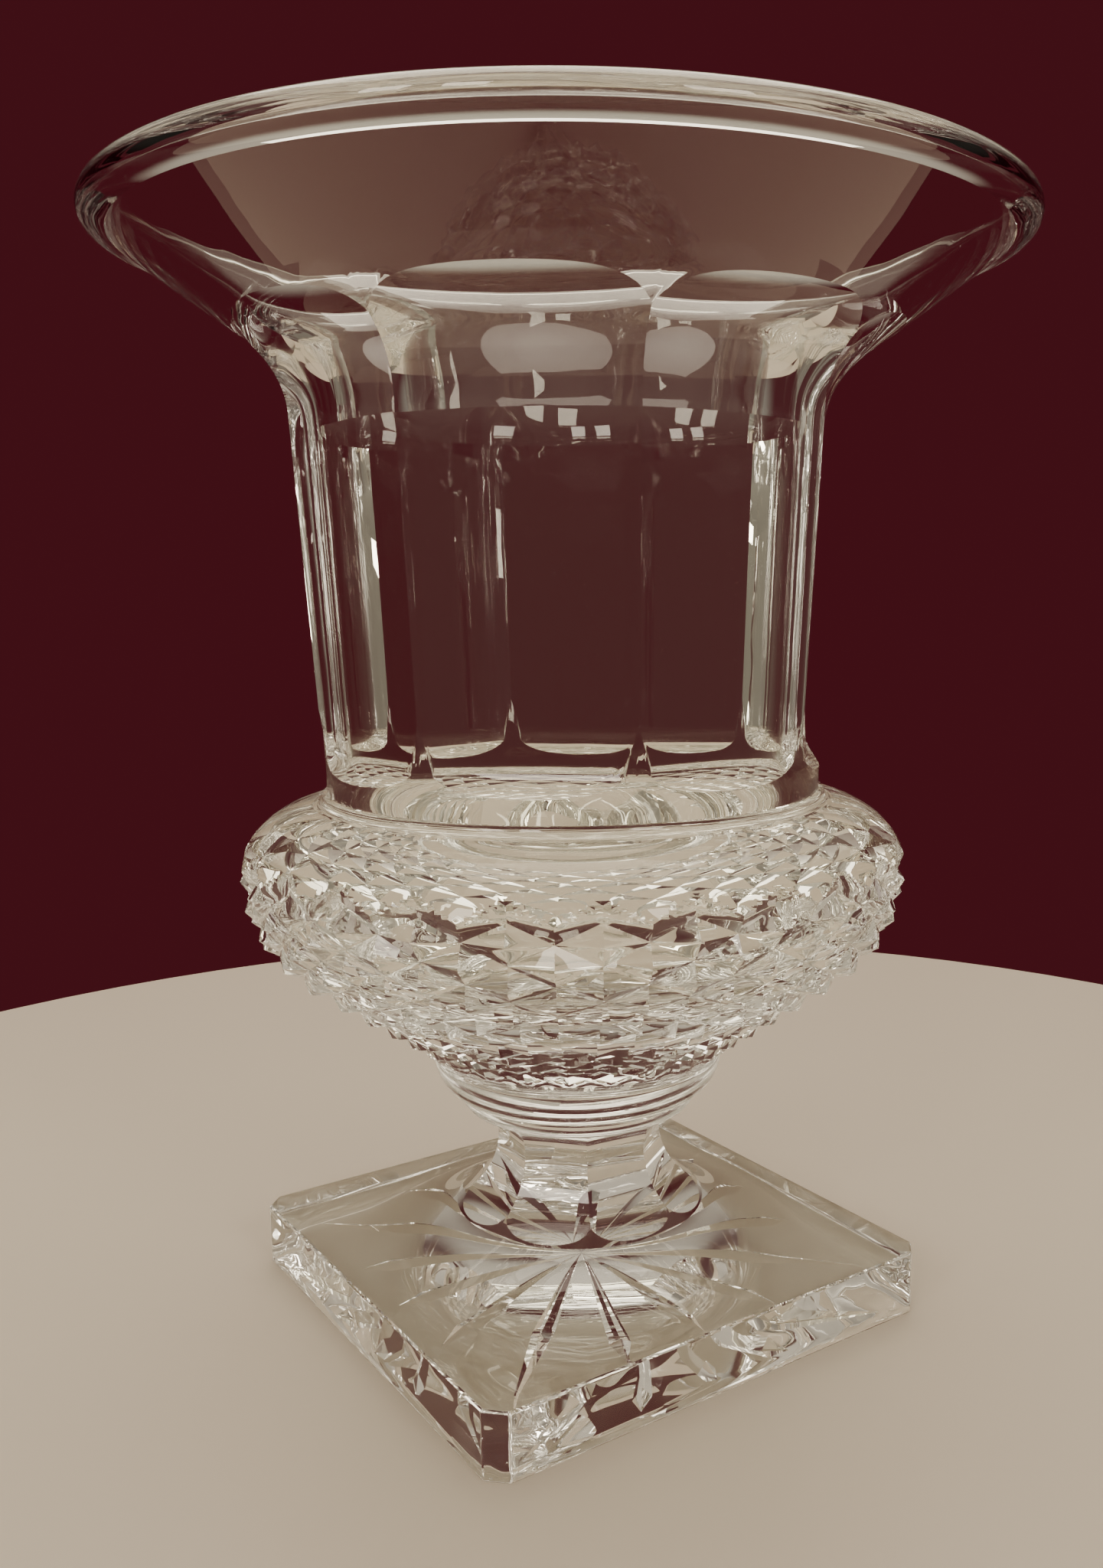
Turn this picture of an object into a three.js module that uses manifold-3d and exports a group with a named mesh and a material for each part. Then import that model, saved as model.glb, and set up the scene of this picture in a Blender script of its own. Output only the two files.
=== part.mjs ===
// Cut-glass vase in the shape of a footed campana urn.
// Millimetres, +Z up, origin at the centre of the foot's underside, foot sides along X and Y.
// Four gathers of glass, joined face to face: foot, stem, collar and bowl.

import * as THREE from 'three';
import { mergeVertices } from 'three/addons/utils/BufferGeometryUtils.js';
import { ConvexGeometry } from 'three/addons/geometries/ConvexGeometry.js';
import Module from 'manifold-3d';

const wasm = await Module();
wasm.setup();

// Foot: a square plate with cut corners and a coved top that rises to the ring under the stem
const footSide = 119;
const footCornerCut = 4;
const footEdge = 15.6;
const coveRise = 8.4;
const coveWidth = 25.5;
const footRingRadius = 30.3;

// Star cut into the underside of the foot
const starRays = 16;
const starMargin = 9.5;
const starGrooveWidth = 5;
const starGrooveDepth = 2.6;
const starBluntEnd = 8;
const starTail = 30;

// Stem: eight hollow-ground panels on a conical dome
const stemHeight = 25;
const stemPanels = 8;
const stemWaistAcross = 36.6;
const stemWaistDrop = 8;
const stemHeadCove = 9.9;
const stemFootCove = 17.7;
const stemDomeLean = 1.05;
const stemTurn = -5.4;

// Collar between stem and bowl
const collarHeight = 13.5;
const collarRadius = 34.5;
const collarTopFlat = 33.4;
const collarTopRound = 1.2;
const collarCreaseRadius = 29.3;
const collarBeadHeight = 4.2;
const collarBeadStep = 0.6;
const collarFootRadius = 25.4;

// Bulb of the bowl, from the collar up to the cove at the foot of the neck
const bulbRadius = 76.8;
const bulbDepth = 45.5;
const bulbLowerArc = 28;
const shoulderRise = 16;
const neckCove = 2.5;

// Raised diamonds between two sets of V grooves, on the lower half of the bulb
const diamondsAround = 26;
const diamondRise = 4;
const diamondLean = 0.532;
const diamondDepth = 2.6;
const diamondFootMargin = 2.4;
const diamondTurn = -1.4;

// Neck with eight cut panels, which run out below in round ends and above in the flare
const neckHeight = 79.8;
const neckRadius = 56.7;
const neckStep = 0.8;
const neckPlainHeight = 13;
const neckSpread = 5.7;
const neckPanels = 8;
const neckPanelInset = 4.3;
const neckPanelSpread = 3.9;
const neckPanelStart = 5;
const neckCornerStart = 19;
const neckPanelFootCove = 7.5;
const neckPanelHeadCove = 19;
const neckPanelHeadRise = 1.9;
const neckTurn = 2.3;

// Flared mouth and rounded lip
const rimRadius = 100;
const flareArc = 25;
const flareAngle = 55;
const lipThickness = 7.4;
const lipWidth = 5.2;

// Inside of the bowl
const bulbWall = 10.8;
const cavityFloor = 14.5;
const neckWall = 12.7;
const cavityNeckStart = 6;
const cavityNeckSpread = 2.6;
const cavityFlareArc = 20;
const flareWall = 6.6;

// How finely round shapes are divided
const bowlSegments = 2 * diamondsAround;
const roundSegments = 48;
const bulbSamples = 1200;

// Steps along each curved stretch
const steps = {
  footCove: 8,
  stemFootCove: 10,
  stemHeadCove: 6,
  collarBead: 4,
  collarBand: 6,
  collarTop: 3,
  shoulder: 6,
  neckCove: 3,
  panelFootCove: 7,
  panelHeadCove: 10,
  flare: 7,
  lip: 8,
  cavityFlare: 6,
  cavityShoulder: 8,
  cavityFloor: 9,
};

const rad = THREE.MathUtils.degToRad;
const point = (r, z) => new THREE.Vector2(r, z);

// Radii that follow from the neck's and the bulb's
const coveRadius = neckRadius + neckStep;
const shoulderWidth = bulbRadius - coveRadius;
const neckHeadRadius = neckRadius + neckSpread;
const cavityRadius = bulbRadius - bulbWall;
const cavityNeckFootRadius = neckRadius - neckWall;
const cavityNeckHeadRadius = cavityNeckFootRadius + cavityNeckSpread;

// Heights of the joints and levels above the table, each stacked on the one below
const footTop = footEdge + coveRise;
const stemTop = footTop + stemHeight;
const seat = stemTop + collarHeight;
const equator = seat + bulbDepth;
const neckFoot = equator + shoulderRise + neckCove;
const neckHead = neckFoot + neckHeight;
const flareEnd = neckHead + flareArc * Math.sin(rad(flareAngle));
const flareEndRadius = neckHeadRadius + flareArc * (1 - Math.cos(rad(flareAngle)));
const lipFootRadius = rimRadius - lipWidth;
const lipFoot = flareEnd + (lipFootRadius - flareEndRadius) / Math.tan(rad(flareAngle));
const lipTop = lipFoot + lipThickness;

// Points on an ellipse or circle about (r, z), from one angle to another, in degrees from +r
function arc(r, z, radiusR, radiusZ, from, to, count) {
  const points = [];
  for (let i = 0; i <= count; i++) {
    const a = rad(from + ((to - from) * i) / count);
    points.push(point(r + radiusR * Math.cos(a), z + radiusZ * Math.sin(a)));
  }
  return points;
}

// A profile turned about the Z axis. Its first column of vertices points along -Y, turned by
// turn degrees towards +X.
function turned(profile, segments, turn = 0) {
  const geometry = new THREE.LatheGeometry(profile, segments, rad(turn));
  return geometry.rotateX(Math.PI / 2);
}

// The solid that a closed geometry encloses
function solid(geometry) {
  const bare = geometry.clone();
  bare.deleteAttribute('normal');
  bare.deleteAttribute('uv');
  const merged = mergeVertices(bare, 1e-4);
  const vertProperties = new Float32Array(merged.attributes.position.array);
  const triVerts = new Uint32Array(merged.index.array);
  return new wasm.Manifold(new wasm.Mesh({ numProp: 3, vertProperties, triVerts }));
}

// A named mesh of a solid
function meshOf(body, name, material) {
  const { vertProperties, triVerts } = body.getMesh();
  const geometry = new THREE.BufferGeometry();
  geometry.setAttribute('position', new THREE.BufferAttribute(new Float32Array(vertProperties), 3));
  geometry.setIndex(new THREE.BufferAttribute(new Uint32Array(triVerts), 1));
  geometry.computeVertexNormals();
  const mesh = new THREE.Mesh(geometry, material);
  mesh.name = name;
  return mesh;
}

// How far a round-bottomed cut of this radius has run out from its straight part, at this height
// beyond the place where it starts to curve
function runOut(radius, height) {
  const h = Math.min(Math.max(height, 0), radius);
  return radius - Math.sqrt(radius * radius - h * h);
}

// Heights from one level to another in equal steps, without the last
function levels(from, to, count) {
  return Array.from({ length: count }, (_, i) => from + ((to - from) * i) / count);
}

// A prism with one flat per panel, whose distance from the axis follows across(z) through the
// given heights, and which is far outside everything above and below them
function panelPrism(across, heights, panels, turn) {
  const outside = 2 * rimRadius;
  const profile = [
    point(0, -outside),
    point(outside, -outside),
    point(outside, heights[0]),
    ...heights.map((z) => point(cornerRadius(across(z), panels), z)),
    point(outside, heights[heights.length - 1]),
    point(outside, 2 * outside),
    point(0, 2 * outside),
  ];
  return solid(turned(profile, panels, turn + 180 / panels));
}

// Distance from the axis to the corners between panels that lie at this distance from it
function cornerRadius(across, panels) {
  return across / Math.cos(Math.PI / panels);
}

// Foot: the square prism inside the coved round, less the star
function buildFoot() {
  const half = footSide / 2;
  const cut = half - footCornerCut;
  const outline = new THREE.Shape();
  outline.moveTo(half, cut);
  outline.lineTo(cut, half);
  outline.lineTo(-cut, half);
  outline.lineTo(-half, cut);
  outline.lineTo(-half, -cut);
  outline.lineTo(-cut, -half);
  outline.lineTo(cut, -half);
  outline.lineTo(half, -cut);
  outline.closePath();
  const prism = solid(new THREE.ExtrudeGeometry(outline, { depth: footTop, bevelEnabled: false }));

  // The cove's arc is level where it meets the plate and touches the ring at its top
  const coveArc = (coveRise * coveRise + coveWidth * coveWidth) / (2 * coveRise);
  const coveAngle = THREE.MathUtils.radToDeg(Math.asin(coveWidth / coveArc));
  const coveEnd = footRingRadius + coveWidth;
  const round = [
    point(0, 0),
    point(footSide, 0),
    point(footSide, footEdge),
    ...arc(coveEnd, footEdge + coveArc, coveArc, coveArc, 270, 270 - coveAngle, steps.footCove),
    point(0, footTop),
  ];
  let foot = prism.intersect(solid(turned(round, roundSegments)));

  for (let i = 0; i < starRays; i++) {
    foot = foot.subtract(starRay((360 * i) / starRays));
  }
  return foot;
}

// One V-cut ray of the star: widest and deepest near its outer end, with a long pointed tail on
// the rays that run into the corners
function starRay(azimuth) {
  const intoCorner = azimuth % 90 === 45;
  const bend = rad((azimuth + 45) % 90 - 45);
  const toSquare = (footSide / 2 - starMargin) / Math.cos(bend);
  const widest = intoCorner ? toSquare - starTail : toSquare - starBluntEnd;
  const halfWidth = starGrooveWidth / 2;
  const ray = new ConvexGeometry([
    new THREE.Vector3(0, 0, 0),
    new THREE.Vector3(halfWidth, -widest, 0),
    new THREE.Vector3(-halfWidth, -widest, 0),
    new THREE.Vector3(0, -toSquare, 0),
    new THREE.Vector3(0, -widest, starGrooveDepth),
    new THREE.Vector3(0, -widest, -starGrooveDepth),
  ]);
  return solid(ray.rotateZ(rad(azimuth)));
}

// Stem: a cone that rises from the foot's ring, cut back to eight panels hollow in height
function buildStem() {
  const waist = stemTop - stemWaistDrop;
  const across = (z) =>
    stemWaistAcross / 2 + runOut(stemHeadCove, z - waist) + runOut(stemFootCove, waist - z);
  const headRadius = cornerRadius(across(stemTop), stemPanels);
  const domeHeight = (footRingRadius - headRadius) / stemDomeLean;
  const blank = [
    point(0, footTop),
    point(footRingRadius, footTop),
    point(headRadius, footTop + domeHeight),
    point(headRadius, stemTop),
    point(0, stemTop),
  ];
  const heights = [
    ...levels(waist - stemFootCove, waist, steps.stemFootCove),
    ...levels(waist, stemTop, steps.stemHeadCove),
    stemTop,
    waist + stemHeadCove,
  ];
  const prism = panelPrism(across, heights, stemPanels, stemTurn);
  return solid(turned(blank, roundSegments)).intersect(prism);
}

// Collar: a rounded band over a crease and a small bead
function buildCollar() {
  const crease = stemTop + collarBeadHeight;
  const bandTop = seat - collarTopRound;
  const drop = bandTop - crease;
  const inset = collarRadius - collarCreaseRadius;
  const bandArc = (drop * drop + inset * inset) / (2 * inset);
  const bandAngle = THREE.MathUtils.radToDeg(Math.asin(drop / bandArc));
  const beadTop = crease - collarBeadStep;
  const beadRadius = collarCreaseRadius - collarBeadStep;
  const beadWidth = beadRadius - collarFootRadius;
  const topWidth = collarRadius - collarTopFlat;
  const profile = [
    point(0, stemTop),
    ...arc(collarFootRadius, beadTop, beadWidth, beadTop - stemTop, 270, 360, steps.collarBead),
    ...arc(collarRadius - bandArc, bandTop, bandArc, bandArc, -bandAngle, 0, steps.collarBand),
    ...arc(collarTopFlat, bandTop, topWidth, collarTopRound, 0, 90, steps.collarTop).slice(1),
    point(0, seat),
  ];
  return solid(turned(profile, roundSegments));
}

// Lower outline of the bulb: a cone from the seat, then an arc up to the equator
function bulbOutline(samples) {
  const centre = point(bulbRadius - bulbLowerArc, equator);
  const toSeat = point(collarTopFlat, seat).sub(centre);
  const distance = toSeat.length();
  const tangent = toSeat.angle() + Math.acos(bulbLowerArc / distance);
  const path = new THREE.CurvePath();
  const touch = point(
    centre.x + bulbLowerArc * Math.cos(tangent),
    centre.y + bulbLowerArc * Math.sin(tangent),
  );
  path.add(new THREE.LineCurve(point(collarTopFlat, seat), touch));
  path.add(new THREE.EllipseCurve(centre.x, centre.y, bulbLowerArc, bulbLowerArc, tangent, 2 * Math.PI));
  path.add(new THREE.EllipseCurve(
    coveRadius, equator, shoulderWidth, shoulderRise, 0, Math.PI / 2,
  ));
  return path.getSpacedPoints(samples);
}

// Rows of the diamond pattern, from the lowest up: each is half a diamond above the last, and
// half a diamond's height is a fixed share of half its width, so that the grooves keep one slope
function diamondRows() {
  const line = bulbOutline(bulbSamples);
  const top = equator + diamondRise;
  const rows = [];
  let i = line.findLastIndex((p) => p.y <= top);
  while (i > 1 && line[i].x > collarTopFlat + diamondFootMargin) {
    const along = line[i + 1].clone().sub(line[i - 1]).normalize();
    rows.push({ at: line[i].clone(), inward: point(-along.y, along.x) });
    const step = (diamondLean * Math.PI * line[i].x) / diamondsAround;
    let length = 0;
    while (i > 1 && length < step) {
      length += line[i].distanceTo(line[i - 1]);
      i -= 1;
    }
  }
  return rows.reverse();
}

// Outer profile of the bowl above the diamonds: shoulder, ring, neck blank, flare and lip
function upperProfile() {
  const from = THREE.MathUtils.radToDeg(Math.asin(diamondRise / shoulderRise));
  const to = THREE.MathUtils.radToDeg(Math.acos(neckCove / shoulderWidth));
  const cornersFrom = neckFoot + neckCornerStart;
  return [
    ...arc(coveRadius, equator, shoulderWidth, shoulderRise, from, to, steps.shoulder).slice(1),
    ...arc(coveRadius + neckCove, neckFoot, neckCove, neckCove, 270, 180, steps.neckCove).slice(1),
    point(neckRadius, neckFoot),
    point(neckRadius, neckFoot + neckPlainHeight),
    point(cornerRadius(neckPanel(cornersFrom), neckPanels), cornersFrom),
    ...arc(neckHeadRadius + flareArc, neckHead, flareArc, flareArc, 180, 180 - flareAngle,
      steps.flare),
    ...arc(lipFootRadius, lipTop - lipThickness / 2, lipWidth, lipThickness / 2, -90, 90,
      steps.lip),
  ];
}

// Distance from the axis to the straight part of the neck panels
function neckPanel(z) {
  return neckRadius - neckPanelInset + (neckPanelSpread * (z - neckFoot)) / neckHeight;
}

// Inner profile of the bowl, from the lip down to the middle of its floor
function cavityProfile() {
  const lean = rad(flareAngle);
  const inset = flareWall / Math.sin(lean);
  const coneAt = (r) => lipFoot - (lipFootRadius - r) / Math.tan(lean) + inset;
  const mouthRadius = lipFootRadius - (coneAt(lipFootRadius) - lipTop) * Math.tan(lean);
  const corner = coneAt(cavityNeckHeadRadius);
  const tangent = cavityFlareArc * Math.tan(lean / 2);
  const neckTurnIn = corner - tangent;
  const underShoulder = equator + shoulderRise / 2;
  const shoulder = new THREE.CubicBezierCurve(
    point(cavityNeckFootRadius, neckFoot + cavityNeckStart),
    point(cavityNeckFootRadius, underShoulder),
    point(cavityRadius, underShoulder),
    point(cavityRadius, equator - diamondRise),
  );
  const floor = seat + cavityFloor;
  return [
    point(mouthRadius, lipTop),
    ...arc(cavityNeckHeadRadius + cavityFlareArc, neckTurnIn, cavityFlareArc, cavityFlareArc,
      180 - flareAngle, 180, steps.cavityFlare),
    ...shoulder.getPoints(steps.cavityShoulder),
    ...arc(0, equator - diamondRise, cavityRadius, equator - diamondRise - floor, 0, -90,
      steps.cavityFloor).slice(1),
  ];
}

// Bowl: one turned profile whose rows in the diamond band are pressed in at the groove crossings,
// with the neck cut back to its panels
function buildBowl() {
  const rows = diamondRows();
  const profile = [
    point(0, seat),
    point(collarTopFlat, seat),
    ...rows.map((row) => row.at),
    ...upperProfile(),
    ...cavityProfile(),
  ];
  profile[profile.length - 1].x = 0;
  const firstRow = 2;
  const geometry = new THREE.LatheGeometry(profile, bowlSegments, rad(diamondTurn));
  pressDiamonds(geometry, profile.length, firstRow, rows);
  const blank = solid(geometry.rotateX(Math.PI / 2));

  const low = neckFoot + neckPanelStart;
  const depth = neckRadius - neckPanel(low);
  const footBend = low + neckPanelFootCove * Math.sin(Math.acos(1 - depth / neckPanelFootCove));
  const headBend = neckHead + neckPanelHeadRise;
  const across = (z) => neckPanel(z)
    + runOut(neckPanelFootCove, footBend - z) + runOut(neckPanelHeadCove, z - headBend);
  const heights = [
    ...levels(footBend - neckPanelFootCove, footBend, steps.panelFootCove),
    footBend,
    ...levels(headBend, headBend + neckPanelHeadCove, steps.panelHeadCove),
    headBend + neckPanelHeadCove,
  ];
  return blank.intersect(panelPrism(across, heights, neckPanels, neckTurn));
}

// Moves the groove crossings of a lathe geometry inward, and turns the diagonals of the squares
// between them so that each groove runs along an edge. Rows and columns of equal parity cross.
function pressDiamonds(geometry, rowCount, firstRow, rows) {
  const position = geometry.attributes.position;
  const lastRow = firstRow + rows.length - 1;
  const crossing = (column, row) => (column + lastRow - row) % 2 === 0;
  for (let column = 0; column <= bowlSegments; column++) {
    for (let row = firstRow + 1; row < lastRow; row++) {
      if (!crossing(column, row)) continue;
      const { at, inward } = rows[row - firstRow];
      const depth = (diamondDepth * at.x) / bulbRadius;
      const r = at.x + depth * inward.x;
      const azimuth = rad(diamondTurn) + (2 * Math.PI * column) / bowlSegments;
      const index = column * rowCount + row;
      position.setXYZ(index, r * Math.sin(azimuth), at.y + depth * inward.y, r * Math.cos(azimuth));
    }
  }
  const index = geometry.index;
  for (let column = 0; column < bowlSegments; column++) {
    for (let row = firstRow; row < lastRow; row++) {
      if (!crossing(column, row)) continue;
      const first = 6 * (column * (rowCount - 1) + row);
      const a = column * rowCount + row;
      const b = a + rowCount;
      const corners = [a, b, b + 1, a, b + 1, a + 1];
      corners.forEach((corner, i) => index.setX(first + i, corner));
    }
  }
}

const glass = (color) => new THREE.MeshStandardMaterial({
  color, roughness: 0.02, metalness: 0, transparent: true, opacity: 0.35,
});

const vase = new THREE.Group();
vase.add(
  meshOf(buildFoot(), 'foot', glass(0xe9e7e2)),
  meshOf(buildStem(), 'stem', glass(0xe6e6e0)),
  meshOf(buildCollar(), 'knop_collar', glass(0xeae8e4)),
  meshOf(buildBowl(), 'bowl', glass(0xecebe8)),
);

export default vase;
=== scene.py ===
"""Cut-glass urn vase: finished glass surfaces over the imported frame, with its studio.

Sizes are in millimetres, heights above the table and radii from the axis, and they become metres
where a mesh is made. Azimuth 0 is -Y and grows towards +X, so columns of a grid run to the right
as the outside is seen. A profile runs from the underside, up the outside and down the inside.
"""

import logging
import math
from dataclasses import dataclass, field
from enum import Enum

import bpy
import numpy as np
from mathutils import Matrix, Vector

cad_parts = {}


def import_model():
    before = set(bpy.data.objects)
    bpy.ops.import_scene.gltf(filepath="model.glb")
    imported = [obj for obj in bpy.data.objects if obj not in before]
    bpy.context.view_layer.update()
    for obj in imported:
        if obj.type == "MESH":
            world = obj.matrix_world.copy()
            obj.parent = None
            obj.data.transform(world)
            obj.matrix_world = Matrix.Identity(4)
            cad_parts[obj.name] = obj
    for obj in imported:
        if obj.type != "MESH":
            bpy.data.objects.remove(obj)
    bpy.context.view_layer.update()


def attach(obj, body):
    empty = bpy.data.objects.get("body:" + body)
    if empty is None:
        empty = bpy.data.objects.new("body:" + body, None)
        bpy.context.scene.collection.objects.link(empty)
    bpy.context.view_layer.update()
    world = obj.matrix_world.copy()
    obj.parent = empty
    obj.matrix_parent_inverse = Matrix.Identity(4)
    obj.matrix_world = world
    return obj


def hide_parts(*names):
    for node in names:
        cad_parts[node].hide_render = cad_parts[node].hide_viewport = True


LOG = logging.getLogger("vase")
MM = 0.001
TURN = 2.0 * np.pi
Array = np.ndarray
Colour = tuple[float, float, float]
Span = tuple[float, float]


class Face(Enum):
    """What a patch of surface is, which is also the place of its finish on the piece."""

    POLISHED = 0
    FUSED = 1
    HOLLOW = 2


def run_out(radius: float, height: Array) -> Array:
    """Rise of a round-ended cut beyond its straight part.

    The rise is R - sqrt(R^2 - h^2), the sagitta of the wheel's circle at height h.

    Args:
        radius: Radius R of the wheel's circle.
        height: Heights h beyond the start of the curve; negative ones give no rise.

    Returns:
        The rise at each height.
    """
    h = np.clip(height, 0.0, radius)
    return radius - np.sqrt(radius * radius - h * h)


def arc(centre: Span, radii: Span, span: Span, steps: int) -> Array:
    """Points (r, z) of an elliptical arc, c + (a cos t, b sin t).

    Args:
        centre: Centre c as (r, z).
        radii: Half-widths a and b along r and z.
        span: First and last angle t, in degrees from +r.
        steps: Number of equal steps.

    Returns:
        An array of steps + 1 points.
    """
    t = np.radians(np.linspace(span[0], span[1], steps + 1))
    return np.stack([centre[0] + radii[0] * np.cos(t), centre[1] + radii[1] * np.sin(t)], axis=1)


def line(start: Span, end: Span, steps: int) -> Array:
    """Points of the straight line p + t (q - p), with t from 0 to 1 in equal steps."""
    t = np.linspace(0.0, 1.0, steps + 1)[:, None]
    return np.array([start]) * (1.0 - t) + np.array([end]) * t


def spin(azimuth: Array, radius: Array, height: Array) -> Array:
    """Points (r sin a, -r cos a, z) in space, for azimuths a, radii r and heights z."""
    azimuth, radius, height = np.broadcast_arrays(azimuth, radius, height)
    return np.stack([radius * np.sin(azimuth), -radius * np.cos(azimuth), height], axis=-1)


def turned(profile: Array, azimuths: Array) -> Array:
    """A profile of points (r, z) turned to every azimuth, as a grid of rows by columns."""
    return spin(azimuths[None], profile[:, :1], profile[:, 1:])


def to_even(value: Array) -> Array:
    """Distance of each value from the nearest even number, | (v + 1) mod 2 - 1 |."""
    return np.abs((value + 1.0) % 2.0 - 1.0)


def panel_azimuths(panels: int, turn: float, columns: int, crowding: float) -> tuple[Array, Array]:
    """Columns of a panelled form, closer together beside the corners between panels.

    Offsets from a panel's middle are sign(t) (1 - (1 - |t|)^k) of half a panel, for even t.

    Args:
        panels: Number of panels.
        turn: Azimuth of a panel's middle, in degrees.
        columns: Columns per panel, an even number.
        crowding: The power k.

    Returns:
        The azimuths in radians, and each one's offset from its panel's middle in radians.
    """
    t = np.linspace(-1.0, 1.0, columns + 1)[:-1]
    share = np.sign(t) * (1.0 - (1.0 - np.abs(t)) ** crowding)
    offset = np.tile(share * np.pi / panels, panels)
    middle = np.repeat(np.arange(panels) * TURN / panels, columns)
    return math.radians(turn) + middle + offset, offset


@dataclass
class Skin:
    """A closed surface put together from patches whose borders share their points."""

    points: list[Array] = field(default_factory=list)
    triangles: list[Array] = field(default_factory=list)
    kinds: list[Array] = field(default_factory=list)
    count: int = 0

    def add(self, points: Array, triangles: Array, kind: Face = Face.POLISHED) -> None:
        """Adds one patch.

        Args:
            points: The patch's points.
            triangles: Indices into points, three per triangle, turning left seen from outside.
            kind: What the patch's faces are.
        """
        flat = points.reshape(-1, 3)
        self.points.append(flat)
        self.triangles.append(triangles + self.count)
        self.kinds.append(np.full(len(triangles), kind.value))
        self.count += len(flat)

    def grid(self, points: Array, rising: Array | bool = True, kind: Face = Face.POLISHED) -> None:
        """Adds a grid of rows and columns that closes round its columns.

        Args:
            points: Points by row and column.
            rising: For each cell, whether its diagonal rises to the right.
            kind: What the grid's faces are.
        """
        rows, columns = points.shape[:2]
        column = np.arange(columns)[None]
        low = np.arange(rows - 1)[:, None] * columns
        a, b = low + column, low + (column + 1) % columns
        c, d = b + columns, a + columns
        pick = np.broadcast_to(rising, a.shape)[..., None]
        first = np.where(pick, np.stack([a, b, c], -1), np.stack([a, b, d], -1))
        second = np.where(pick, np.stack([a, c, d], -1), np.stack([b, c, d], -1))
        self.add(points, np.concatenate([first.reshape(-1, 3), second.reshape(-1, 3)]), kind)

    def zip(self, lower: Array, upper: Array) -> None:
        """Joins two rings that have different numbers of points.

        The points of both rings are taken in order of azimuth. Each one ends an edge of its own
        ring, which makes a triangle with the point that the other ring has reached.

        Args:
            lower: Points of the ring that comes first along the profile.
            upper: Points of the ring that comes next.
        """
        n, m = len(lower), len(upper)
        both = np.concatenate([lower, upper])
        azimuth = np.round(np.arctan2(both[:, 0], -both[:, 1]) % TURN, 9)
        order = np.argsort(azimuth, kind="stable")
        is_low = order < n
        low_points = order[is_low]
        up_points = order[~is_low]
        low_now = np.cumsum(is_low) - 1
        up_now = np.cumsum(~is_low) - 1
        low_edge = np.stack([low_points[(low_now - 1) % n], low_points[low_now % n],
                             up_points[up_now % m]], -1)
        up_edge = np.stack([up_points[(up_now - 1) % m], low_points[low_now % n],
                            up_points[up_now % m]], -1)
        self.add(both, np.where(is_low[:, None], low_edge, up_edge))

    def disc(self, ring: Array, facing_up: bool, kind: Face) -> None:
        """Fills a level ring with a fan of triangles about the axis.

        Args:
            ring: The ring's points, in order of azimuth.
            facing_up: Whether the disc faces up or down.
            kind: What the disc's face is.
        """
        n = len(ring)
        i = np.arange(n)
        fan = np.stack([i, (i + 1) % n, np.full(n, n)], -1)
        points = np.concatenate([ring, [[0.0, 0.0, ring[0, 2]]]])
        self.add(points, fan if facing_up else fan[:, ::-1], kind)

    def piece(self, name: str, crease: float) -> bpy.types.Object:
        """Welds the patches into one object.

        Args:
            name: The object's name.
            crease: Angle in degrees from which an edge is drawn sharp.

        Returns:
            The new object, at the origin, with its points in metres.
        """
        weld_per_mm = 2000.0
        points = np.concatenate(self.points)
        cells = np.round(points * weld_per_mm).astype(np.int64)
        _, keep, where = np.unique(cells, axis=0, return_index=True, return_inverse=True)
        tri = where.reshape(-1)[np.concatenate(self.triangles)]
        whole = (tri[:, 0] != tri[:, 1]) & (tri[:, 1] != tri[:, 2]) & (tri[:, 2] != tri[:, 0])
        mesh = bpy.data.meshes.new(name)
        mesh.from_pydata(points[keep] * MM, [], tri[whole])
        kinds = np.concatenate(self.kinds)[whole].astype(np.int32)
        mesh.polygons.foreach_set("material_index", kinds)
        mesh.update()
        mesh.shade_smooth()
        mesh.set_sharp_from_angle(angle=math.radians(crease))
        made = bpy.data.objects.new(name, mesh)
        bpy.context.scene.collection.objects.link(made)
        return made


@dataclass(frozen=True)
class CutGlass:
    """Clear polished glass, faintly wavy where a wheel has cut and polished it.

    The waves are noise in object space, the same on every face, and the polish varies a little over
    them.
    """

    name: str
    tint: Colour = (0.975, 0.975, 0.93)
    wave_size: float = 14.0
    wave_height: float = 0.05
    polish: tuple[float, float] = (0.0, 0.012)
    ior: float = 1.52

    def material(self) -> bpy.types.Material:
        """Makes the material."""
        made = bpy.data.materials.new(self.name)
        made.use_nodes = True
        nodes, links = made.node_tree.nodes, made.node_tree.links
        shader = nodes["Principled BSDF"]
        shader.inputs["Base Color"].default_value = (*self.tint, 1.0)
        shader.inputs["IOR"].default_value = self.ior
        shader.inputs["Transmission Weight"].default_value = 1.0
        where = nodes.new("ShaderNodeTexCoord")
        waves = nodes.new("ShaderNodeTexNoise")
        waves.inputs["Scale"].default_value = 1.0 / (self.wave_size * MM)
        waves.inputs["Detail"].default_value = 1.0
        waves.inputs["Roughness"].default_value = 0.4
        bump = nodes.new("ShaderNodeBump")
        bump.inputs["Strength"].default_value = 1.0
        bump.inputs["Distance"].default_value = self.wave_height * MM
        wear = nodes.new("ShaderNodeMapRange")
        wear.inputs["To Min"].default_value = self.polish[0]
        wear.inputs["To Max"].default_value = self.polish[1]
        links.new(where.outputs["Object"], waves.inputs["Vector"])
        links.new(waves.outputs["Fac"], bump.inputs["Height"])
        links.new(waves.outputs["Fac"], wear.inputs["Value"])
        links.new(bump.outputs["Normal"], shader.inputs["Normal"])
        links.new(wear.outputs["Result"], shader.inputs["Roughness"])
        return made


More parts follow.
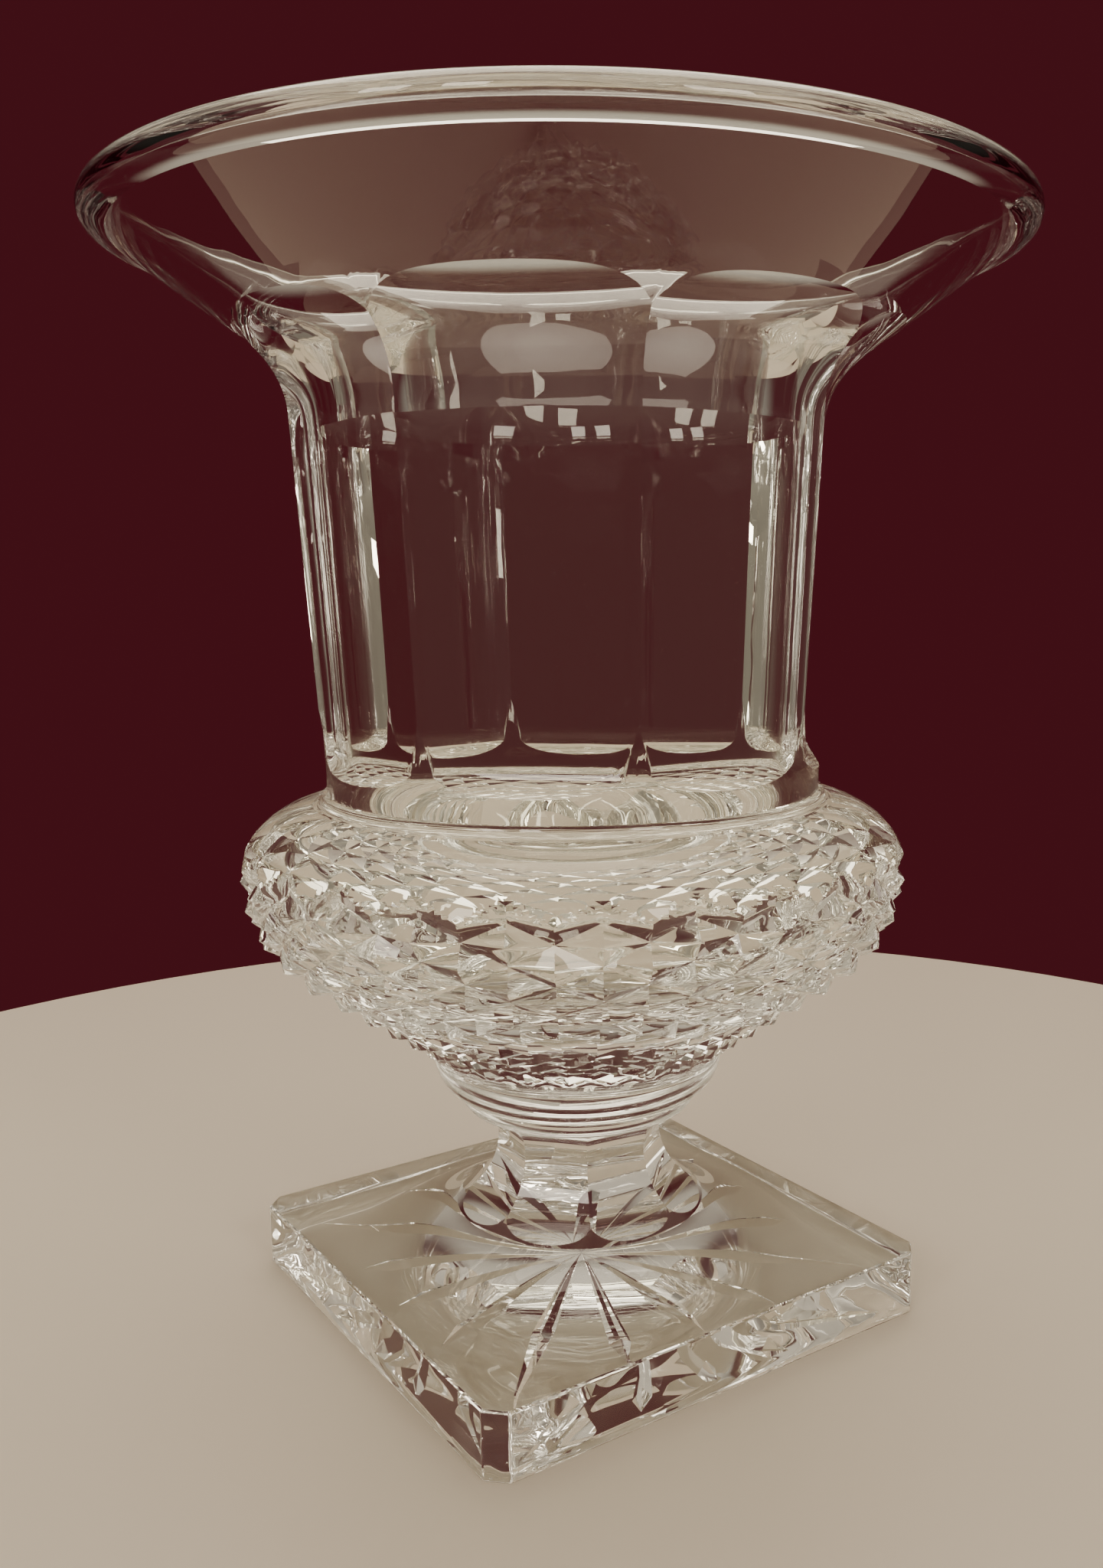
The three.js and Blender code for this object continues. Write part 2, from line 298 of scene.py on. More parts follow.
@dataclass(frozen=True)
class FusedJoint:
    """A face inside the glass where two gathers were fused, which nothing shows of."""

    name: str = "fused_joint"

    def material(self) -> bpy.types.Material:
        """Makes the material: light passes straight through."""
        made = bpy.data.materials.new(self.name)
        made.use_nodes = True
        nodes, links = made.node_tree.nodes, made.node_tree.links
        nodes.remove(nodes["Principled BSDF"])
        clear = nodes.new("ShaderNodeBsdfTransparent")
        links.new(clear.outputs["BSDF"], nodes["Material Output"].inputs["Surface"])
        return made


def dress(piece: bpy.types.Object, node: str, *finishes: CutGlass | FusedJoint) -> None:
    """Gives a piece its finishes and puts it in the place of its CAD node.

    Args:
        piece: The finished piece.
        node: The CAD node that it stands for.
        finishes: A finish for each kind of face that the piece has, in the order of Face.
    """
    for finish in finishes:
        piece.data.materials.append(finish.material())
    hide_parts(node)
    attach(piece, "root")
    LOG.info("%s: %d faces", piece.name, len(piece.data.polygons))


@dataclass
class Foot:
    """Square foot with cut corners, a coved top, and a star cut into its underside."""

    side: float = 119.0
    corner_cut: float = 4.0
    edge_height: float = 15.6
    cove_rise: float = 8.4
    cove_width: float = 25.5
    ring_radius: float = 30.3
    corner_round: float = 1.5
    top_round: float = 0.9
    base_round: float = 0.5
    rays: int = 16
    star_margin: float = 9.5
    ray_width: float = 5.0
    ray_depth: float = 2.6
    ray_blunt: float = 8.0
    ray_tail: float = 30.0
    round_steps: int = 4
    cut_steps: int = 5
    side_steps: int = 29

    @property
    def top(self) -> float:
        """Height of the ring that carries the stem."""
        return self.edge_height + self.cove_rise

    def outline(self, inset: float) -> Array:
        """Outline of the plate, drawn in by inset, as points (x, y) in order of azimuth.

        Its eight edges face every 45 degrees, by turns a side and a cut corner. Where two of
        them meet is an arc of radius CORNER_ROUND - inset about a fixed centre, so that every
        inset has matching points. The centre lies at distance p along the first edge's normal
        and (q - p cos 45) / sin 45 to the right of it, p and q being the two edges' distances.
        """
        facing = np.arange(8) * TURN / 8
        cut_reach = (self.side - self.corner_cut) / math.sqrt(2.0)
        reach = np.where(np.arange(8) % 2 == 1, cut_reach, self.side / 2.0) - self.corner_round
        aside = np.roll(reach, -1) * math.sqrt(2.0) - reach
        centres = spin(facing, reach, 0.0) + spin(facing + TURN / 4, aside, 0.0)
        turn = facing[:, None] + np.linspace(0.0, TURN / 8, self.round_steps + 1)
        arcs = (centres[:, None] + spin(turn, self.corner_round - inset, 0.0))[..., :2]
        stretches = []
        for corner, steps in enumerate((self.cut_steps, self.side_steps) * 4):
            start, end = arcs[corner, -1], arcs[(corner + 1) % 8, 0]
            stretches += [arcs[corner], line(tuple(start), tuple(end), steps)[1:-1]]
        return np.concatenate(stretches)

    def level(self, inset: float, height: float) -> Array:
        """The outline drawn in by inset, at one height."""
        flat = self.outline(inset)
        return np.column_stack([flat, np.full(len(flat), height)])

    def star(self) -> Array:
        """Underside inside the star's tips, as a grid of rows from the middle outward.

        A ray is a kite: its half-width and depth grow evenly from 0 at the middle to their
        greatest at W, and shrink evenly to 0 at its tip T. Across a ray, depth falls evenly
        from its middle line. Between rays the underside is level.
        """
        inner_rows, outer_rows = 20, 8
        half_columns, between = 4, 5
        azimuth = np.arange(self.rays) * TURN / self.rays
        bend = (azimuth + TURN / 8) % (TURN / 4) - TURN / 8
        tip = (self.side / 2.0 - self.star_margin) / np.cos(bend)
        to_corner = np.isclose(np.abs(bend), TURN / 8)
        widest = tip - np.where(to_corner, self.ray_tail, self.ray_blunt)
        grow = np.concatenate([np.linspace(0.0, 1.0, inner_rows + 1), np.ones(outer_rows)])
        shrink = np.concatenate([np.zeros(inner_rows), np.linspace(0.0, 1.0, outer_rows + 1)])
        size = (grow * (1.0 - shrink))[:, None, None]
        along = (grow[:, None] * widest + shrink[:, None] * (tip - widest))[..., None]
        q = np.linspace(-1.0, 1.0, 2 * half_columns + 1)
        aside = size * q * self.ray_width / 2.0
        direction, right = spin(azimuth, 1.0, 0.0), spin(azimuth + TURN / 4, 1.0, 0.0)
        ray = along[..., None] * direction[:, None] + aside[..., None] * right[:, None]
        ray[..., 2] = size * self.ray_depth * (1.0 - np.abs(q))
        share = np.linspace(0.0, 1.0, between + 1)[1:-1, None]
        following = np.roll(ray[:, :, :1], -1, axis=1)
        gap = ray[:, :, -1:] * (1.0 - share) + following * share
        both = np.concatenate([ray, gap], axis=2)
        return both.reshape(len(grow), -1, 3)

    def build(self) -> bpy.types.Object:
        """Makes the foot from the middle of its underside round to the ring under the stem."""
        skin = Skin()
        star = self.star()
        skin.grid(star)
        turns = np.linspace(0.0, TURN / 4, self.round_steps + 1)
        sides = [self.level(self.base_round * (1.0 - math.sin(t)),
                            self.base_round * (1.0 - math.cos(t))) for t in turns]
        skin.zip(star[-1], sides[0])
        plate = self.edge_height
        wall = np.linspace(self.base_round, plate - self.top_round, 6)[1:]
        sides += [self.level(0.0, z) for z in wall]
        sides += [self.level(self.top_round * (1.0 - math.cos(t)),
                             plate - self.top_round * (1.0 - math.sin(t))) for t in turns[1:]]
        rim = sides[-1]
        azimuth = np.arctan2(rim[:, 0], -rim[:, 1])
        cove_end = self.ring_radius + self.cove_width
        cove_arc = (self.cove_rise**2 + self.cove_width**2) / (2.0 * self.cove_rise)
        foot_of_cove = spin(azimuth, cove_end, plate)
        share = np.linspace(0.0, 1.0, 6)[1:, None, None]
        sides += list(rim[None] * (1.0 - share) + foot_of_cove[None] * share)
        radii = np.linspace(cove_end, self.ring_radius, 25)[1:]
        heights = plate + run_out(cove_arc, cove_end - radii)
        sides += list(spin(azimuth[None], radii[:, None], heights[:, None]))
        skin.grid(np.stack(sides))
        skin.disc(sides[-1], True, Face.FUSED)
        return skin.piece("foot_glass", 12.0)


@dataclass
class Stem:
    """Eight hollow-ground panels above a dome, whose ends make a ring of petals."""

    foot: Foot
    height: float = 25.0
    panels: int = 8
    waist_across: float = 36.6
    waist_drop: float = 8.0
    head_cove: float = 9.9
    foot_cove: float = 17.7
    dome_lean: float = 1.05
    turn: float = -5.4

    @property
    def top(self) -> float:
        """Height of the stem's head."""
        return self.foot.top + self.height

    def panel(self, height: Array) -> Array:
        """Distance from the axis to the middle of a panel: a waist with a cove on each side."""
        above = height - (self.top - self.waist_drop)
        return self.waist_across / 2.0 + run_out(self.head_cove, above) + run_out(self.foot_cove, -above)

    def grid(self) -> Array:
        """Points of the side. Up to each column's petal edge they lie on the dome, and above it
        on a panel, at p(z) / cos(offset) from the axis."""
        azimuth, offset = panel_azimuths(self.panels, self.turn, 20, 1.4)
        fine = np.linspace(self.foot.top, self.top, 4001)[:, None]
        dome = self.foot.ring_radius - self.dome_lean * (fine - self.foot.top)
        cut = self.panel(fine) / np.cos(offset)[None]
        edge = fine[np.argmax(cut < dome, axis=0), 0]
        low = self.foot.top + np.linspace(0.0, 1.0, 7)[:, None] * (edge - self.foot.top)
        high = edge + np.linspace(0.0, 1.0, 41)[1:, None] * (self.top - edge)
        lower = spin(azimuth[None], self.foot.ring_radius - self.dome_lean * (low - self.foot.top), low)
        upper = spin(azimuth[None], self.panel(high) / np.cos(offset)[None], high)
        return np.concatenate([lower, upper])

    def build(self) -> bpy.types.Object:
        """Makes the stem with its two fused ends."""
        skin = Skin()
        side = self.grid()
        skin.disc(side[0], False, Face.FUSED)
        skin.grid(side)
        skin.disc(side[-1], True, Face.FUSED)
        return skin.piece("stem_glass", 12.0)


@dataclass
class Collar:
    """Ring of glass between stem and bowl: a rounded band over a crease and a small bead."""

    stem: Stem
    columns: int
    turn: float
    height: float = 13.5
    radius: float = 34.5
    top_flat: float = 33.4
    top_round: float = 1.2
    crease_radius: float = 29.3
    bead_height: float = 4.2
    bead_step: float = 0.6
    foot_radius: float = 25.4

    @property
    def top(self) -> float:
        """Height of the seat under the bowl."""
        return self.stem.top + self.height

    def profile(self) -> Array:
        """Outside of the ring from its foot to its flat top."""
        base = self.stem.top
        crease = base + self.bead_height
        band_top = self.top - self.top_round
        drop, inset = band_top - crease, self.radius - self.crease_radius
        band_arc = (drop * drop + inset * inset) / (2.0 * inset)
        lean = math.degrees(math.asin(drop / band_arc))
        bead_top = crease - self.bead_step
        bead = (self.crease_radius - self.bead_step - self.foot_radius, bead_top - base)
        round_over = (self.radius - self.top_flat, self.top_round)
        return np.concatenate([
            arc((self.foot_radius, bead_top), bead, (-90.0, 0.0), 12),
            arc((self.radius - band_arc, band_top), (band_arc, band_arc), (-lean, 0.0), 16),
            arc((self.top_flat, band_top), round_over, (0.0, 90.0), 8)[1:],
        ])

    def build(self) -> bpy.types.Object:
        """Makes the ring, whose faces under the bowl and over the stem's head are fused."""
        skin = Skin()
        head = self.stem.grid()[-1]
        azimuths = math.radians(self.turn) + np.arange(self.columns) * TURN / self.columns
        side = turned(self.profile(), azimuths)
        skin.disc(head, False, Face.FUSED)
        skin.zip(head, side[0])
        skin.grid(side)
        skin.disc(side[-1], True, Face.FUSED)
        return skin.piece("knop_collar_glass", 12.0)


@dataclass
class Bowl:
    """Flared mouth, panelled neck and diamond-cut bulb, with the hollow inside them."""

    seat: float
    seat_radius: float = 33.4
    bulb_radius: float = 76.8
    bulb_depth: float = 45.5
    lower_arc: float = 28.0
    shoulder_rise: float = 16.0
    neck_cove: float = 2.5

    diamonds: int = 26
    diamond_rise: float = 4.0
    diamond_lean: float = 0.532
    diamond_depth: float = 2.6
    diamond_foot: float = 2.4
    diamond_turn: float = -1.4
    groove_wall: float = 5.0 / 6.0
    cell_steps: int = 6

    neck_height: float = 79.8
    neck_radius: float = 56.7
    neck_step: float = 0.8
    neck_plain: float = 13.0
    neck_spread: float = 5.7
    panels: int = 8
    panel_inset: float = 4.3
    panel_spread: float = 3.9
    panel_start: float = 5.0
    corner_start: float = 19.0
    panel_foot_cove: float = 7.5
    panel_head_cove: float = 19.0
    panel_head_rise: float = 1.9
    panel_turn: float = 2.3

    rim_radius: float = 100.0
    flare_arc: float = 25.0
    flare_angle: float = 55.0
    lip_thickness: float = 7.4
    lip_width: float = 5.2

    bulb_wall: float = 10.8
    cavity_floor: float = 14.5
    neck_wall: float = 12.7
    cavity_neck_start: float = 6.0
    cavity_neck_spread: float = 2.6
    cavity_flare_arc: float = 20.0
    flare_wall: float = 6.6

    def __post_init__(self) -> None:
        """Stacks the heights of the bowl's parts, and works out the radii that follow."""
        lean = math.radians(self.flare_angle)
        self.cove_radius = self.neck_radius + self.neck_step
        self.shoulder_width = self.bulb_radius - self.cove_radius
        self.neck_head_radius = self.neck_radius + self.neck_spread
        self.cavity_radius = self.bulb_radius - self.bulb_wall
        self.cavity_neck_foot = self.neck_radius - self.neck_wall
        self.cavity_neck_head = self.cavity_neck_foot + self.cavity_neck_spread
        self.equator = self.seat + self.bulb_depth
        self.neck_foot = self.equator + self.shoulder_rise + self.neck_cove
        self.neck_head = self.neck_foot + self.neck_height
        self.flare_end = self.neck_head + self.flare_arc * math.sin(lean)
        self.flare_end_radius = self.neck_head_radius + self.flare_arc * (1.0 - math.cos(lean))
        self.lip_radius = self.rim_radius - self.lip_width
        self.lip_foot = self.flare_end + (self.lip_radius - self.flare_end_radius) / math.tan(lean)
        self.lip_top = self.lip_foot + self.lip_thickness

    @property
    def columns(self) -> int:
        """Columns round the diamonds."""
        return 2 * self.diamonds * self.cell_steps

    def bulb_line(self) -> Array:
        """Outside of the bulb before it is cut, from the seat to the top of the shoulder.

        A straight cone touches an arc of radius LOWER_ARC that ends at the equator, and a
        quarter of an ellipse carries on above it.
        """
        centre = np.array([self.bulb_radius - self.lower_arc, self.equator])
        start = np.array([self.seat_radius, self.seat])
        away = start - centre
        touch = math.atan2(away[1], away[0]) + math.acos(self.lower_arc / np.hypot(*away))
        touch_point = centre + self.lower_arc * np.array([math.cos(touch), math.sin(touch)])
        cone = line(tuple(start), tuple(touch_point), 1500)
        lower = arc(tuple(centre), (self.lower_arc,) * 2, (math.degrees(touch), 0.0), 1500)
        upper = arc((self.cove_radius, self.equator), (self.shoulder_width, self.shoulder_rise),
                    (0.0, 90.0), 1500)
        return np.concatenate([cone, lower[1:], upper[1:]])

    def diamond_grid(self) -> tuple[Array, Array]:
        """Points of the cut band, and which way each cell's diagonal runs.

        A half cell is LEAN pi r / DIAMONDS long, so row numbers b are the sum of ds over that
        length, with b = 0 at the top crossings, and column numbers a count half cells round.
        Grooves lie where a + b or a - b is even. With w the distance to the nearest groove,
        from 0 to 1, depth is D (1 - w) in the diamonds. Above the topmost grooves, whose line
        is b = -|a|, the wall is D (1 - w / WALL).

        Returns:
            The points by row and column, and True for cells whose diagonal rises.
        """
        path = self.bulb_line()
        length = np.concatenate([[0.0], np.cumsum(np.hypot(*np.diff(path, axis=0).T))])
        cell = self.diamond_lean * np.pi * path[:, 0] / self.diamonds
        number = np.concatenate([[0.0], np.cumsum(np.diff(length) * 2.0 / (cell[1:] + cell[:-1]))])
        top = self.equator + self.diamond_rise
        rising = np.arange(len(path)) > np.argmax(path[:, 0])
        number -= np.interp(top, path[rising, 1], number[rising])
        lowest = np.interp(self.seat_radius + self.diamond_foot, path[:1500, 0], number[:1500])
        rows = int(-lowest)
        b = np.arange(-rows * self.cell_steps, self.cell_steps + 1)[:, None] / self.cell_steps
        a = np.arange(self.columns)[None] / self.cell_steps
        r = np.interp(b, number, path[:, 0])
        z = np.interp(b, number, path[:, 1])
        slope = np.gradient(path, length, axis=0)
        normal_r = np.interp(b, number, slope[:, 1])
        normal_z = np.interp(b, number, -slope[:, 0])
        nearest = np.minimum(to_even(a + b), to_even(a - b))
        above = b + to_even(a)
        wall = np.clip(above / self.groove_wall, 0.0, 1.0)
        share = np.where(above > 0.0, wall, nearest)
        fade = np.clip((b + rows) * 2.0, 0.0, 1.0)
        depth = self.diamond_depth * (r / self.bulb_radius) * (1.0 - share) * fade
        azimuth = math.radians(self.diamond_turn) + a * np.pi / self.diamonds
        points = spin(azimuth, r - depth * normal_r, z - depth * normal_z)
        cell_a, cell_b = np.floor(a + 1e-9), np.floor(b[:-1] + 1e-9)
        return points, (cell_a + cell_b) % 2 == 0

    def panel(self, height: Array) -> Array:
        """Distance from the axis to the straight part of a neck panel."""
        rise = (height - self.neck_foot) / self.neck_height
        return self.neck_radius - self.panel_inset + self.panel_spread * rise

    def cut(self, height: Array) -> Array:
        """Distance from the axis to a neck panel with its run-outs."""
        low = self.neck_foot + self.panel_start
        depth = self.neck_radius - self.panel(low)
        bend = low + self.panel_foot_cove * math.sin(math.acos(1.0 - depth / self.panel_foot_cove))
        head = self.neck_head + self.panel_head_rise
        return (self.panel(height) + run_out(self.panel_foot_cove, bend - height)
                + run_out(self.panel_head_cove, height - head))

    def blank(self, height: Array) -> Array:
        """Radius of the neck and flare before the panels are cut, at heights up to the lip."""
        corner_z = self.neck_foot + self.corner_start
        corner_r = self.panel(np.array(corner_z)) / math.cos(math.pi / self.panels)
        flare = arc((self.neck_head_radius + self.flare_arc, self.neck_head), (self.flare_arc,) * 2,
                    (180.0, 180.0 - self.flare_angle), 200)
        r = np.concatenate([[self.neck_radius, self.neck_radius, corner_r], flare[:, 0],
                            [self.lip_radius]])
        z = np.concatenate([[self.neck_foot, self.neck_foot + self.neck_plain, corner_z],
                            flare[:, 1], [self.lip_foot]])
        return np.interp(height, z, r)

    def neck_grid(self, azimuth: Array, offset: Array) -> Array:
        """Points of the neck and flare up to the lip.

        In each column the panel starts and ends where CUT / cos(offset) crosses BLANK, and rows
        follow those two heights, so that the panels' edges are edges of the mesh.
        """
        flat = 1.0 / np.cos(offset)[None]
        fine = np.linspace(self.neck_foot, self.lip_foot, 8001)[:, None]
        run_out_end = self.neck_head + self.panel_head_rise + self.panel_head_cove
        inside = (self.cut(fine) * flat < self.blank(fine)) & (fine < run_out_end)
        start = fine[np.argmax(inside, axis=0), 0]
        end = fine[len(fine) - 1 - np.argmax(inside[::-1], axis=0), 0]
        ease = 0.5 - 0.5 * np.cos(np.pi * np.linspace(0.0, 1.0, 65))[1:, None]
        low = self.neck_foot + np.linspace(0.0, 1.0, 9)[:, None] * (start - self.neck_foot)
        middle = start + ease * (end - start)
        high = end + np.linspace(0.0, 1.0, 21)[1:, None] * (self.lip_foot - end)
        radii = np.concatenate([self.blank(low), self.cut(middle) * flat, self.blank(high)])
        return spin(azimuth[None], radii, np.concatenate([low, middle, high]))

    def inside(self) -> tuple[Array, Array]:
        """Profile of the rounded lip and of the inside.

        Returns:
            The lip with the flared mouth, and the hollow of neck and bulb down to just off the
            axis.
        """
        lean = math.radians(self.flare_angle)
        inset = self.flare_wall / math.sin(lean)
        mouth = self.lip_radius - (self.lip_foot + inset - self.lip_top) * math.tan(lean)
        corner = self.lip_foot - (self.lip_radius - self.cavity_neck_head) / math.tan(lean) + inset
        turn_in = corner - self.cavity_flare_arc * math.tan(lean / 2.0)
        half = self.lip_thickness / 2.0
        lip = arc((self.lip_radius, self.lip_top - half), (self.lip_width, half), (-90.0, 90.0), 28)
        bend = arc((self.cavity_neck_head + self.cavity_flare_arc, turn_in),
                   (self.cavity_flare_arc,) * 2, (180.0 - self.flare_angle, 180.0), 18)
        neck_end = (self.cavity_neck_foot, self.neck_foot + self.cavity_neck_start)
        handle = self.equator + self.shoulder_rise / 2.0
        widest = self.equator - self.diamond_rise
        t = np.linspace(0.0, 1.0, 29)[:, None]
        weights = np.concatenate([(1 - t) ** 3, 3 * t * (1 - t) ** 2, 3 * t * t * (1 - t), t**3], 1)
        bulge = weights @ np.array([neck_end, (self.cavity_neck_foot, handle),
                                    (self.cavity_radius, handle), (self.cavity_radius, widest)])
        floor = arc((0.0, widest), (self.cavity_radius, widest - self.seat - self.cavity_floor),
                    (0.0, -89.0), 30)
        flare = line((mouth, self.lip_top), tuple(bend[0]), 16)
        neck = line(tuple(bend[-1]), neck_end, 12)
        return np.concatenate([lip, flare, bend[1:]]), np.concatenate([neck, bulge[1:], floor[1:]])

    def build(self) -> bpy.types.Object:
        """Makes the bowl from its seat, up the outside, over the lip and down to its floor."""
        skin = Skin()
        band, rising = self.diamond_grid()
        azimuths = math.radians(self.diamond_turn) + np.arange(self.columns) * TURN / self.columns
        seat = turned(np.array([[self.seat_radius, self.seat]]), azimuths)
        skin.disc(seat[0], False, Face.FUSED)
        skin.grid(np.concatenate([seat, band[:1]]))
        skin.grid(band, rising)
        band_top = band[-1, 0, 2] - self.equator
        start = math.degrees(math.asin(band_top / self.shoulder_rise))
        stop = math.degrees(math.acos(self.neck_cove / self.shoulder_width))
        shoulder = arc((self.cove_radius, self.equator), (self.shoulder_width, self.shoulder_rise),
                       (start, stop), 16)
        cove = arc((self.cove_radius + self.neck_cove, self.neck_foot), (self.neck_cove,) * 2,
                   (270.0, 180.0), 8)
        top = turned(np.concatenate([shoulder, cove[1:]]), azimuths)
        skin.grid(top)
        panel_columns, offset = panel_azimuths(self.panels, self.panel_turn, 24, 1.5)
        neck = self.neck_grid(panel_columns, offset)
        mouth, hollow = (turned(profile, panel_columns) for profile in self.inside())
        skin.zip(top[-1], neck[0])
        skin.grid(np.concatenate([neck, mouth[1:]]))
        skin.grid(hollow, kind=Face.HOLLOW)
        skin.disc(hollow[-1], True, Face.HOLLOW)
        return skin.piece("bowl_glass", 12.0)


@dataclass(frozen=True)
class Surroundings:
    """Plain surroundings: a wine-coloured wall on the vase's far side, in a room pale above."""

    facing: float
    wall: Colour = (0.062, 0.0075, 0.012)
    room: Colour = (0.22, 0.19, 0.155)
    ceiling: Colour = (0.62, 0.54, 0.43)
    wall_side: Span = (0.1, 0.4)
    wall_top: Span = (0.5, 0.34)
    ceiling_rise: Span = (0.15, 0.75)

    def rise(self, tree: bpy.types.NodeTree, value: bpy.types.NodeSocket,
             span: Span) -> bpy.types.NodeSocket:
        """A smooth step of a value, from 0 at the span's first number to 1 at its second."""
        step = tree.nodes.new("ShaderNodeMapRange")
        step.interpolation_type = "SMOOTHSTEP"
        step.inputs["From Min"].default_value, step.inputs["From Max"].default_value = span
        tree.links.new(value, step.inputs["Value"])
        return step.outputs["Result"]

    def mix(self, tree: bpy.types.NodeTree, amount: bpy.types.NodeSocket) -> bpy.types.Node:
        """A colour mix, with its amount linked and its colours A and B to be set."""
        mix = tree.nodes.new("ShaderNodeMix")
        mix.data_type = "RGBA"
        tree.links.new(amount, mix.inputs["Factor"])
        return mix

    def build(self) -> None:
        """Makes the world. Both steps go by the direction looked in: its height, and how far it
        points to the wall."""
        world = bpy.data.worlds.new("surroundings")
        world.use_nodes = True
        tree = world.node_tree
        where = tree.nodes.new("ShaderNodeTexCoord").outputs["Generated"]
        split = tree.nodes.new("ShaderNodeSeparateXYZ")
        tree.links.new(where, split.inputs["Vector"])
        toward = tree.nodes.new("ShaderNodeVectorMath")
        toward.operation = "DOT_PRODUCT"
        toward.inputs[1].default_value = spin(math.radians(self.facing), 1.0, 0.0)
        tree.links.new(where, toward.inputs[0])
        walled = tree.nodes.new("ShaderNodeMath")
        walled.operation = "MULTIPLY"
        tree.links.new(self.rise(tree, toward.outputs["Value"], self.wall_side), walled.inputs[0])
        tree.links.new(self.rise(tree, split.outputs["Z"], self.wall_top), walled.inputs[1])
        room = self.mix(tree, self.rise(tree, split.outputs["Z"], self.ceiling_rise))
        room.inputs["A"].default_value = (*self.room, 1.0)
        room.inputs["B"].default_value = (*self.ceiling, 1.0)
        whole = self.mix(tree, walled.outputs["Value"])
        tree.links.new(room.outputs["Result"], whole.inputs["A"])
        whole.inputs["B"].default_value = (*self.wall, 1.0)
        tree.links.new(whole.outputs["Result"], tree.nodes["Background"].inputs["Color"])
        bpy.context.scene.world = world


@dataclass(frozen=True)
class SoftLight:
    """A rectangular light that faces the vase's middle."""

    name: str
    azimuth: float
    distance: float
    height: float
    size: Span
    power: float
    colour: Colour = (1.0, 0.9, 0.76)
    aim_height: float = 120.0

    def build(self) -> None:
        """Makes the light."""
        data = bpy.data.lights.new(self.name, "AREA")
        data.shape = "RECTANGLE"
        data.size, data.size_y = self.size[0] * MM, self.size[1] * MM
        data.energy = self.power
        data.color = self.colour
        light = bpy.data.objects.new(self.name, data)
        light.location = spin(math.radians(self.azimuth), self.distance, self.height) * MM
        aim = Vector((0.0, 0.0, self.aim_height * MM)) - light.location
        light.rotation_mode = "QUATERNION"
        light.rotation_quaternion = aim.to_track_quat("-Z", "Y")
        bpy.context.scene.collection.objects.link(light)


